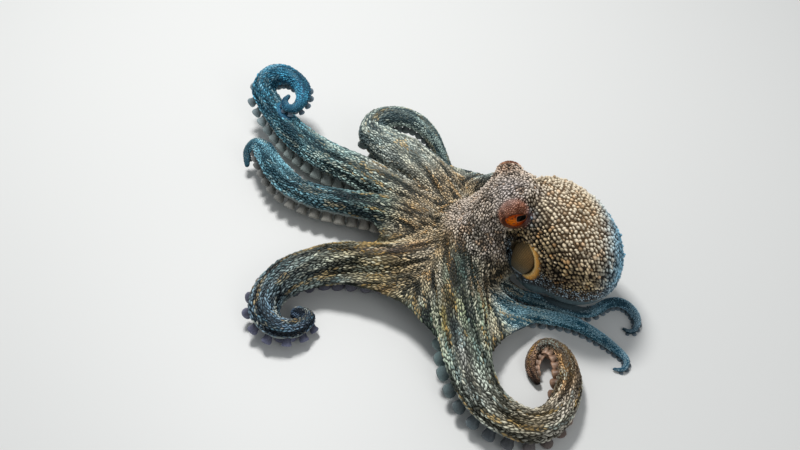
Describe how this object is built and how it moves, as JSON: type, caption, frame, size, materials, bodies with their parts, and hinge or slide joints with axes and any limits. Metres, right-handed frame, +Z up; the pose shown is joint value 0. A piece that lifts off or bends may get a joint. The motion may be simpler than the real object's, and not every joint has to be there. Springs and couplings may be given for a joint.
{
  "type": "octopus",
  "caption": "Crawling octopus with spread, curling arms in two rows of suckers, joined by webs, a raised head with horizontal slit pupils and a rounded mantle slumped behind it.",
  "frame": {"origin": "centre of the footprint on the floor that the arms rest on", "axes": "+Z up, +X from the head towards the mantle end, the animal's left side faces -Y"},
  "size_m": [0.394, 0.4694, 0.115],
  "materials": {
    "skin": "wet soft skin, dark teal and olive with rows of raised cream and ochre grains",
    "siphon_skin": "wet smooth skin, ochre and grey, lit orange at the rim",
    "eye": "wet glossy eyeball, orange iris with a black horizontal slit pupil",
    "sucker": "pale grey and beige cups, slightly glossy"
  },
  "bodies": {
    "root": {"arm_l1_base": "skin", "arm_l1_middle": "skin", "arm_l1_tip": "skin", "arm_l2_base": "skin", "arm_l2_middle": "skin", "arm_l2_tip": "skin", "arm_l3_base": "skin", "arm_l3_end": "skin", "arm_l3_middle": "skin", "arm_l3_tip": "skin", "arm_l4_base": "skin", "arm_l4_middle": "skin", "arm_l4_tip": "skin", "arm_r1_base": "skin", "arm_r1_end": "skin", "arm_r1_middle": "skin", "arm_r1_tip": "skin", "arm_r2_base": "skin", "arm_r2_middle": "skin", "arm_r2_tip": "skin", "arm_r3_base": "skin", "arm_r3_middle": "skin", "arm_r3_tip": "skin", "arm_r4_base": "skin", "arm_r4_middle": "skin", "arm_r4_tip": "skin", "eye_left": "eye", "eye_right": "eye", "head": "skin", "mantle": "skin", "siphon": "siphon_skin", "web_l1_l2": "skin", "web_l2_l3": "skin", "web_l3_l4": "skin", "web_r3_r2": "skin"}
  },
  "joints": []
}
